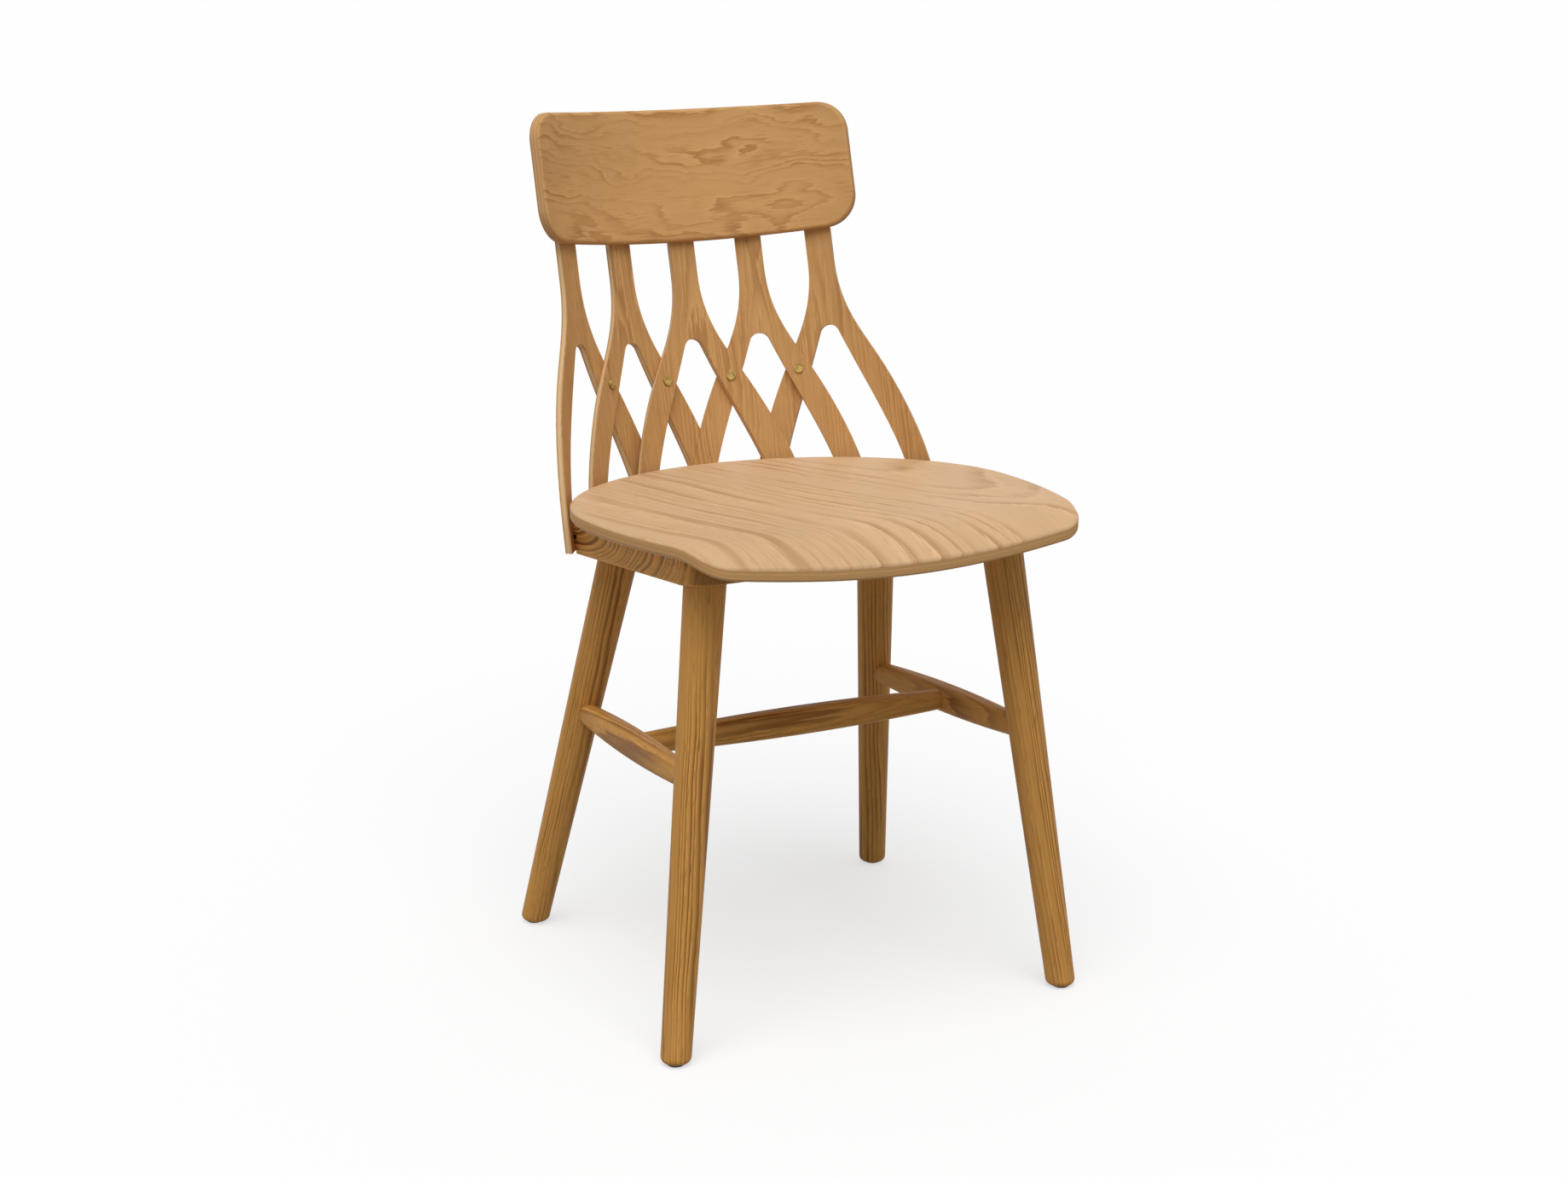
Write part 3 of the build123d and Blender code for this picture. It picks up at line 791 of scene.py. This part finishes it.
@dataclass
class Seat:
    """The moulded ply seat."""

    node: str = "seat_panel"
    sheet: SeatSheet = SeatSheet()
    figure: Figure = Figure(
        pith=(0.150, 0.10), run=(0.0, -0.16), ring=0.0135, drift=0.030, drift_length=0.24
    )

    def build(self) -> list[str]:
        """Dress the seat."""
        dress(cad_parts[self.node], SEAT_PLY.material("seat_ply", self.sheet, self.figure))
        return [self.node]


@dataclass
class Back:
    """The leaning back: five crossed slats and the panel above them."""

    origin: Triple = (0.0, 0.205, 0.592)
    lean: float = math.radians(16.0)
    radius: float = 0.260
    end_slat_radius: float = 0.210
    pitch: float = 0.0695
    slat_thickness: float = 0.0065
    slat_gap: float = 0.0004
    panel: str = "back_panel"
    panel_thickness: float = 0.011
    panel_housing: float = 0.0015
    slats: tuple[int, ...] = (1, 2, 3, 4, 5)
    end_slats: tuple[int, ...] = (1, 5)
    middle_slat: int = 3
    panel_figure: Figure = Figure(
        pith=(0.022, 0.109),
        run=(0.10, 0.16),
        ring=0.0125, drift=0.075, drift_length=0.11,
        offset=(0.02, 0.0, 0.12),
    )

    def slat_bend(self, slat: int) -> tuple[float, float, Vector]:
        """Work out how a slat is bent, seen along the leaning axis.

        Args:
            slat: Number of the slat.

        Returns:
            The angle it faces, and the radius and the centre of its bend.
        """
        layer = self.slat_thickness + self.slat_gap
        place = slat - self.middle_slat
        turn = place * self.pitch / self.radius
        facing, radius, stand = turn, self.radius, 0.0
        if place == 0:
            radius = 1 / (1 / self.radius + 2 * layer / self.pitch**2)
            stand = -layer / 4
        else:
            hand = place / abs(place)
            facing += math.atan(layer / self.pitch) * hand
            if slat in self.end_slats:
                radius = self.end_slat_radius
                facing += (1 / radius - 1 / self.radius) * self.pitch / 4 * hand
        stem = Vector((math.sin(turn), math.cos(turn))) * (self.radius + stand)
        stem -= Vector((0.0, self.radius))
        return facing, radius, stem - Vector((math.sin(facing), math.cos(facing))) * radius

    def slat_sheet(self, slat: int) -> BentSheet:
        """Describe the bent sheet that one slat is cut from.

        Args:
            slat: Number of the slat.

        Returns:
            The sheet.
        """
        facing, radius, centre = self.slat_bend(slat)
        return BentSheet(
            self.origin,
            self.lean,
            centre=tuple(centre),
            front_radius=radius - self.slat_thickness / 2,
            thickness=self.slat_thickness,
            upright_grain=True,
            facing=facing,
        )

    def slat_rear(self, slat: int, across: float, up: float) -> tuple[Vector, Vector]:
        """Find a place on a slat's rear face.

        Args:
            slat: Number of the slat.
            across: Distance from the slat's own middle line.
            up: Height along the leaning axis, from the origin.

        Returns:
            The place, and the way the face looks there.
        """
        facing, radius, centre = self.slat_bend(slat)
        angle = facing + math.asin(across / radius)
        rear_radius = radius + self.slat_thickness / 2
        flat = centre + Vector((math.sin(angle), math.cos(angle))) * rear_radius
        turn = Matrix.Rotation(-self.lean, 3, "X")
        outward = turn @ Vector((math.sin(angle), math.cos(angle), 0.0))
        return Vector(self.origin) + turn @ Vector((flat.x, flat.y, up)), outward

    def slat_figure(self, slat: int) -> Figure:
        """Describe how the rings lie in one slat, a little different in each.

        Args:
            slat: Number of the slat.

        Returns:
            The figure.
        """
        sway = math.sin(2.3 * slat)
        return Figure(
            pith=(0.012 * sway, 0.014 + 0.004 * math.cos(1.7 * slat)),
            run=(0.015 * sway, 0.05 + 0.015 * math.sin(4.1 * slat)),
            ring=0.0046, drift=0.016,
            offset=(0.21 * slat, 0.0, 0.37 * slat),
        )

    def panel_sheet(self) -> BentSheet:
        """Describe the bent sheet that the panel is cut from, ahead of the slats.

        Returns:
            The sheet.
        """
        rear_radius = self.radius - self.slat_thickness / 2 + self.panel_housing
        return BentSheet(
            self.origin,
            self.lean,
            centre=(0.0, -self.radius),
            front_radius=rear_radius - self.panel_thickness,
            thickness=self.panel_thickness,
            upright_grain=False,
        )

    def build(self) -> list[str]:
        """Dress the slats and the panel.

        Returns:
            The names of the dressed pieces.
        """
        done = []
        for slat in self.slats:
            name, sheet, figure = f"slat_{slat}", self.slat_sheet(slat), self.slat_figure(slat)
            dress(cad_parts[name], SLAT_PLY.material(f"slat_ply_{slat}", sheet, figure))
            done.append(name)
        material = PANEL_PLY.material("panel_ply", self.panel_sheet(), self.panel_figure)
        dress(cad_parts[self.panel], material)
        return done + [self.panel]


@dataclass
class TimberPart:
    """One solid timber piece, its board and the rings in it."""

    node: str
    timber: Timber
    board: Board
    figure: Figure
    end_grain_and_shade_levels: Pair = (0.45, 0.85)
    end_grain_and_shade_depth: float = 0.58

    def build(self) -> list[str]:
        """Dress the piece, darker where its end grain shows; the same darkening is painted shade on
        the front ends of the side rails.

        Returns:
            The name of the piece.
        """
        material, graph = new_material(f"{self.timber.name}_{self.node}")
        place = self.board.place(graph)
        colour, rough, height = self.timber.grain(graph, place, self.figure)
        along = tuple(Vector(self.board.along).normalized())
        # Faces across the grain turn darker: real end grain, and painted shade on the rails' front
        # ends.
        end_grain_and_shade = graph.facing(along).ramp(*self.end_grain_and_shade_levels)
        colour = graph.mix(end_grain_and_shade * self.end_grain_and_shade_depth, colour, self.timber.pore.linear())
        self.timber.shader(graph, colour, rough, height)
        dress(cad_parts[self.node], material)
        return [self.node]


@dataclass(frozen=True)
class LegLine:
    """The axis of a pair of legs: the right foot, the splay in degrees, the stretcher's height."""

    foot: Pair
    splay: Pair
    stretcher_height: float

    def rise(self, side: Side) -> Vector:
        """The axis's run to a metre of height."""
        out, forward = (math.tan(math.radians(angle)) for angle in self.splay)
        return Vector((-side.value * out, forward, 1.0))

    def at(self, side: Side, height: float) -> Vector:
        """Point on the axis at a height."""
        return Vector((side.value * self.foot[0], self.foot[1], 0.0)) + self.rise(side) * height


@dataclass
class Underframe:
    """Legs, stretchers and seat frame, all of solid timber."""

    front_legs: LegLine = LegLine((0.195, -0.1975), (6.8, 5.6), stretcher_height=0.246)
    rear_legs: LegLine = LegLine((0.188, 0.1645), (7.9, -14.8), stretcher_height=0.229)
    leg_face: Triple = (-0.35, -1.0, 0.0)
    cross_middle: Triple = (0.0, -0.02, 0.237)
    side_rail_pith: Triple = (0.178, 0.06, 0.424)
    side_rail_grain: Triple = (0.0, -1.0, 0.098)
    front_rail_y: float = -0.16
    rear_rail_y: float = 0.13
    rail_height: float = 0.42

    def leg(self, end: End, side: Side, seed: int) -> TimberPart:
        """Plan one leg.

        Args:
            end: Front or rear.
            side: Left or right.
            seed: Number of the leg, which makes its grain its own.

        Returns:
            The leg.
        """
        line = self.front_legs if end is End.FRONT else self.rear_legs
        figure = Figure(
            pith=(0.045 + 0.012 * math.sin(seed), 0.016 * math.cos(2.0 * seed)),
            run=(0.022, 0.014 * math.sin(3.0 * seed)),
            ring=0.0044, drift=0.009, drift_length=0.16,
            offset=(0.17 * seed, 0.0, 0.29 * seed),
        )
        board = Board(tuple(line.at(side, 0.0)), tuple(line.rise(side)), self.leg_face)
        return TimberPart(f"{end.value}_leg_{side.word()}", LEG_OAK, board, figure)

    def side_stretcher(self, side: Side) -> TimberPart:
        """Plan one side stretcher, from the front leg to the rear one.

        Args:
            side: Left or right.

        Returns:
            The stretcher.
        """
        legs = (self.front_legs, self.rear_legs)
        front, rear = (line.at(side, line.stretcher_height) for line in legs)
        board = Board(tuple(front), tuple(rear - front), (float(side.value), 0.0, 0.0))
        figure = Figure(
            pith=(0.004, 0.030),
            run=(0.01, 0.05),
            ring=0.0048, drift=0.008,
            offset=(0.0, 0.0, 0.4 * side.value),
        )
        return TimberPart(f"side_stretcher_{side.word()}", STRETCHER_OAK, board, figure)

    def side_rail(self, side: Side) -> TimberPart:
        """Plan one side rail, whose pith comes out of its outer face near the rear.

        Args:
            side: Left or right.

        Returns:
            The rail.
        """
        x, y, z = self.side_rail_pith
        outward = (float(side.value), 0.0, 0.0)
        board = Board((side.value * x, y, z), self.side_rail_grain, outward)
        figure = Figure(
            pith=(0.0, 0.0),
            run=(0.0, 0.28),
            ring=0.0031, drift=0.005, drift_length=0.06,
            offset=(0.0, 0.0, 0.23 * side.value),
        )
        return TimberPart(f"side_rail_{side.word()}", FRAME_OAK, board, figure)

    def crosswise(self) -> list[TimberPart]:
        """Plan the pieces that run from side to side.

        Returns:
            The cross stretcher, the front and rear rails, and the dowels as one piece.
        """
        along, forward, up = (1.0, 0.0, 0.0), (0.0, -1.0, 0.0), (0.0, 0.0, 1.0)
        board = Board(self.cross_middle, along, forward)
        figure = Figure(
            pith=(0.008, 0.040), run=(0.01, 0.04), ring=0.0048, drift=0.008, offset=(0.0, 0.0, 0.11)
        )
        parts = [TimberPart("cross_stretcher", STRETCHER_OAK, board, figure)]
        for end, y in ((End.FRONT, self.front_rail_y), (End.REAR, self.rear_rail_y)):
            board = Board((0.0, y, self.rail_height), along, forward)
            offset = (0.0, 0.0, 0.6 + y)
            figure = Figure(
                pith=(-0.005, 0.065), run=(0.05, 0.12), ring=0.0055, drift=0.012, offset=offset
            )
            parts.append(TimberPart(f"{end.value}_rail", FRAME_OAK, board, figure))
        board = Board((0.0, 0.0, self.rail_height), along, up)
        figure = Figure(
            pith=(0.03, 0.03), run=(0.0, 0.0), ring=0.003, drift=0.004, drift_length=0.10
        )
        return parts + [TimberPart("rail_dowels", DOWEL_BEECH, board, figure)]

    def plan(self) -> list[TimberPart]:
        """List every timber piece with its board and its rings.

        Returns:
            The pieces, in the order in which they are dressed.
        """
        parts = []
        for pair, side in enumerate(Side):
            for leg, end in enumerate(End, start=1):
                parts.append(self.leg(end, side, seed=pair * len(End) + leg))
            parts += [self.side_stretcher(side), self.side_rail(side)]
        return parts + self.crosswise()

    def build(self) -> list[str]:
        """Dress every timber piece."""
        return [name for part in self.plan() for name in part.build()]


@dataclass
class Screws:
    """Pan-headed screws of one kind with a cross recess, made as one piece.

    The head's outline and the recess are in shares of the head's radius and height.
    """

    node: str
    finish: Metal
    head_radius: float
    head_height: float
    shank_radius: float
    seats: list[ScrewSeat]
    sides: int = 32
    head_outline: tuple[Pair, ...] = ((1.0, 0.0), (1.0, 0.5), (0.92, 0.8), (0.74, 1.0))
    arm_reach: float = 0.58
    arm_half_width: float = 0.15
    recess_share: float = 0.65
    sharp_angle: float = math.radians(35.0)

    def ring(
        self,
        shape: bmesh.types.BMesh,
        axis: Matrix,
        radius: float,
        height: float,
        capped: bool,
    ) -> Edges:
        """Add a ring round a screw's axis.

        Args:
            shape: Mesh to add to.
            axis: Place and direction of the screw.
            radius: Radius of the ring.
            height: Its height over the seat of the head.
            capped: Whether it is closed by a face.

        Returns:
            The ring's edges.
        """
        made = bmesh.ops.create_circle(
            shape,
            cap_ends=capped,
            segments=self.sides,
            radius=radius,
            matrix=axis @ Matrix.Translation((0.0, 0.0, height)),
        )
        return list({edge for vert in made["verts"] for edge in vert.link_edges})

    def cross(
        self, shape: bmesh.types.BMesh, axis: Matrix, height: float, capped: bool
    ) -> Edges:
        """Add the outline of the recess, a ring that is drawn in to a cross.

        Args:
            shape: Mesh to add to.
            axis: Place and direction of the screw.
            height: Height over the seat of the head.
            capped: Whether the outline is closed by a face.

        Returns:
            The outline's edges.
        """
        edges = self.ring(shape, Matrix.Identity(4), 1.0, 0.0, capped)
        reach = self.arm_reach * self.head_radius
        half = self.arm_half_width * self.head_radius
        for vert in {vert for edge in edges for vert in edge.verts}:
            x, y = vert.co.x, vert.co.y
            near, far = sorted((max(abs(x), NEXT_TO_NOTHING), max(abs(y), NEXT_TO_NOTHING)))
            scale = max(min(reach / far, half / near), min(reach / near, half / far))
            vert.co = axis @ Vector((x * scale, y * scale, height))
        return edges

    def screw(
        self, shape: bmesh.types.BMesh, seat: Vector, outward: Vector, length: float
    ) -> None:
        """Add one screw.

        Args:
            shape: Mesh to add to.
            seat: Middle of the underside of the head.
            outward: The way the head faces.
            length: Length of the shank.
        """
        turn = outward.to_track_quat("Z", "Y").to_matrix().to_4x4()
        axis = Matrix.Translation(seat) @ turn
        outline = [(self.shank_radius, -length), (self.shank_radius, 0.0)]
        outline += [
            (share * self.head_radius, rise * self.head_height)
            for share, rise in self.head_outline
        ]
        loops = [
            self.ring(shape, axis, radius, height, capped=not number)
            for number, (radius, height) in enumerate(outline)
        ]
        floor = self.head_height * (1 - self.recess_share)
        loops.append(self.cross(shape, axis, self.head_height, capped=False))
        loops.append(self.cross(shape, axis, floor, capped=True))
        for lower, upper in zip(loops, loops[1:]):
            bmesh.ops.bridge_loops(shape, edges=lower + upper)

    def build(self) -> list[str]:
        """Make the screws and put them in the place of the plain ones.

        Returns:
            The name of the new piece.
        """
        shape = bmesh.new()
        for seat, outward, length in self.seats:
            self.screw(shape, seat, outward, length)
        bmesh.ops.recalc_face_normals(shape, faces=shape.faces[:])
        for face in shape.faces:
            face.smooth = True
        name = f"{self.node}_crossed"
        mesh = bpy.data.meshes.new(name)
        shape.to_mesh(mesh)
        shape.free()
        mesh.set_sharp_from_angle(angle=self.sharp_angle)
        piece = bpy.data.objects.new(name, mesh)
        bpy.context.scene.collection.objects.link(piece)
        dress(piece, self.finish.material())
        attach(piece, "root")
        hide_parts(self.node)
        return [name]


@dataclass
class Fittings:
    """Rivets, screws and glides.

    A screw's size is its head's radius and height, then its shank's radius.
    """

    back: Back = field(default_factory=Back)
    rivets: tuple[str, ...] = ("crossing_posts", "crossing_screws")
    stem_size: Triple = (0.0035, 0.0022, 0.00175)
    stem_rises: Pair = (0.084, 0.136)
    stem_length: float = 0.0135
    end_size: Triple = (0.0040, 0.0024, 0.0020)
    end_place: Pair = (0.079, -0.196)
    outer_end_place: Pair = (0.073, -0.214)
    end_length: float = 0.0265
    left_slats: tuple[int, int] = (1, 2)
    right_slats: tuple[int, int] = (4, 5)
    seat_size: Triple = (0.0045, 0.0030, 0.00225)
    seat_screw_x: float = 0.140
    seat_screw_runs: tuple[Pair, ...] = ((-0.100, 0.042), (0.010, 0.048))
    rail_height: float = 0.401
    rail_rake: float = math.radians(5.6)

    def stem_seats(self) -> list[ScrewSeat]:
        """Two screws through the top of each slat into the panel."""
        places = [(slat, rise) for slat in self.back.slats for rise in self.stem_rises]
        return [(*self.back.slat_rear(slat, 0.0, rise), self.stem_length) for slat, rise in places]

    def end_seats(self) -> list[ScrewSeat]:
        """Place the screws through the feet of the slats into the seat frame.

        Returns:
            The seats of the screws.
        """
        across, rise = self.end_place
        outer, outer_rise = self.outer_end_place
        left_end, right_end = self.back.end_slats
        places = [(left_end, -outer, outer_rise), (right_end, outer, outer_rise)]
        places += [(slat, across, rise) for slat in self.left_slats]
        places += [(slat, -across, rise) for slat in self.right_slats]
        return [(*self.back.slat_rear(*place), self.end_length) for place in places]

    def seat_seats(self) -> list[ScrewSeat]:
        """Place the screws up through the side rails into the seat.

        Returns:
            The seats of the screws.
        """
        down = Vector((0.0, -math.sin(self.rail_rake), -math.cos(self.rail_rake)))
        seats = []
        for side in Side:
            for y, length in self.seat_screw_runs:
                height = self.rail_height - math.tan(self.rail_rake) * y
                seats.append((Vector((side.value * self.seat_screw_x, y, height)), down, length))
        return seats

    def build(self) -> list[str]:
        """Dress the rivets and glides, and make the screws.

        Returns:
            The names of the pieces.
        """
        glides = [f"{end.value}_glide_{side.word()}" for end in End for side in Side]
        done = []
        for names, finish in ((self.rivets, BRASS), (glides, GLIDE_NYLON)):
            material = finish.material()
            for name in names:
                dress(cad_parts[name], material)
                done.append(name)
        for screws in (
            Screws("stem_screws", ZINC, *self.stem_size, self.stem_seats()),
            Screws("slat_end_screws", BLACKED, *self.end_size, self.end_seats()),
            Screws("seat_screws", ZINC, *self.seat_size, self.seat_seats()),
        ):
            done += screws.build()
        return done


@dataclass
class Studio:
    """A pale floor, a white surround and soft light from above the camera."""

    floor_size: float = 120.0
    sky: float = 0.40
    key_level: float = 0.60
    key_height: float = math.radians(64.0)
    key_heading: float = math.radians(30.0)
    key_softness: float = math.radians(50.0)
    floor_shown: Tone = Tone(253, 253, 253)
    floor_bounce: Tone = Tone(150, 148, 145)
    floor_glow: float = 0.62

    def seen(self, graph: Graph) -> Value:
        """Find the rays that show the surround, in the picture or in a shiny surface.

        Args:
            graph: Graph to add to.

        Returns:
            1 for those rays, else 0.
        """
        path = graph.node("ShaderNodeLightPath")
        camera, glossy, through = (
            Value(graph, path.outputs[f"Is {kind} Ray"])
            for kind in ("Camera", "Glossy", "Transmission")
        )
        return graph.math("MAXIMUM", graph.math("MAXIMUM", camera, glossy), through)

    def floor(self) -> None:
        """Lay the floor, white to the eye and grey to the light that it throws back."""
        mesh = bpy.data.meshes.new("studio_floor")
        shape = bmesh.new()
        bmesh.ops.create_grid(shape, x_segments=1, y_segments=1, size=self.floor_size / 2)
        shape.to_mesh(mesh)
        shape.free()
        floor = bpy.data.objects.new("studio_floor", mesh)
        bpy.context.scene.collection.objects.link(floor)
        material, graph = new_material("studio_floor")
        seen = self.seen(graph)
        colour = graph.mix(seen, self.floor_bounce.linear(), self.floor_shown.linear())
        lit = graph.node("ShaderNodeBsdfDiffuse", inputs={"Color": colour})
        glow = graph.node("ShaderNodeEmission", inputs={"Color": WHITE, "Strength": 1.0})
        shaders = {1: Value(graph, lit.outputs[0]), 2: Value(graph, glow.outputs[0])}
        shares = {0: seen * self.floor_glow, **shaders}
        graph.finish(graph.node("ShaderNodeMixShader", inputs=shares))
        dress(floor, material)

    def light(self) -> None:
        """Set the surround and the key light."""
        world = bpy.data.worlds.new("studio")
        world.use_nodes = True
        bpy.context.scene.world = world
        graph = Graph(world.node_tree)
        strength = self.seen(graph) * (1.0 - self.sky) + self.sky
        sky = graph.node("ShaderNodeBackground", inputs={"Color": WHITE, "Strength": strength})
        graph.node("ShaderNodeOutputWorld", inputs={"Surface": Value(graph, sky.outputs[0])})
        lamp = bpy.data.lights.new("key", "SUN")
        lamp.angle = self.key_softness
        lamp.energy = math.pi * self.key_level / math.sin(self.key_height)
        key = bpy.data.objects.new("key", lamp)
        flat = math.cos(self.key_height)
        x, y = -math.sin(self.key_heading) * flat, -math.cos(self.key_heading) * flat
        towards = Vector((x, y, math.sin(self.key_height)))
        key.rotation_euler = towards.to_track_quat("Z", "Y").to_euler()
        bpy.context.scene.collection.objects.link(key)
        bpy.context.scene.view_settings.view_transform = "Standard"

    def build(self) -> list[str]:
        """Lay the floor and set the light.

        Returns:
            The names of the floor and the lamp.
        """
        self.floor()
        self.light()
        return ["studio_floor", "key"]


@dataclass
class PhotoCamera:
    """The photograph's viewpoint."""

    place: Triple = (-1.0368, -2.1401, 0.9921)
    yaw: float = math.radians(25.884)
    pitch: float = math.radians(14.719)
    focal_pixels: float = 3113.66
    frame_width: float = 1839.0
    frame_height: float = 1380.0
    axis_pixel: Pair = (915.26, 675.81)
    sensor: float = 36.0

    def build(self) -> list[str]:
        """Place the camera and make it the scene's own.

        Returns:
            The name of the camera.
        """
        lens = bpy.data.cameras.new("photo_camera")
        lens.sensor_fit = "HORIZONTAL"
        lens.sensor_width = self.sensor
        lens.lens = self.sensor * self.focal_pixels / self.frame_width
        lens.shift_x = (self.frame_width / 2 - self.axis_pixel[0]) / self.frame_width
        lens.shift_y = (self.axis_pixel[1] - self.frame_height / 2) / self.frame_width
        camera = bpy.data.objects.new("photo_camera", lens)
        flat = math.cos(self.pitch)
        x, y = math.sin(self.yaw) * flat, math.cos(self.yaw) * flat
        towards = Vector((x, y, -math.sin(self.pitch)))
        camera.location = self.place
        camera.rotation_euler = towards.to_track_quat("-Z", "Y").to_euler()
        bpy.context.scene.collection.objects.link(camera)
        bpy.context.scene.camera = camera
        return ["photo_camera"]


def main() -> None:
    """Build the chair's pieces in order, then the studio and the camera."""
    logging.basicConfig(level=logging.INFO, format="%(message)s")
    for group in (Seat(), Back(), Underframe(), Fittings(), Studio(), PhotoCamera()):
        for name in group.build():
            LOG.info("%s: %s", type(group).__name__, name)


if __name__ == "__main__":
    main()
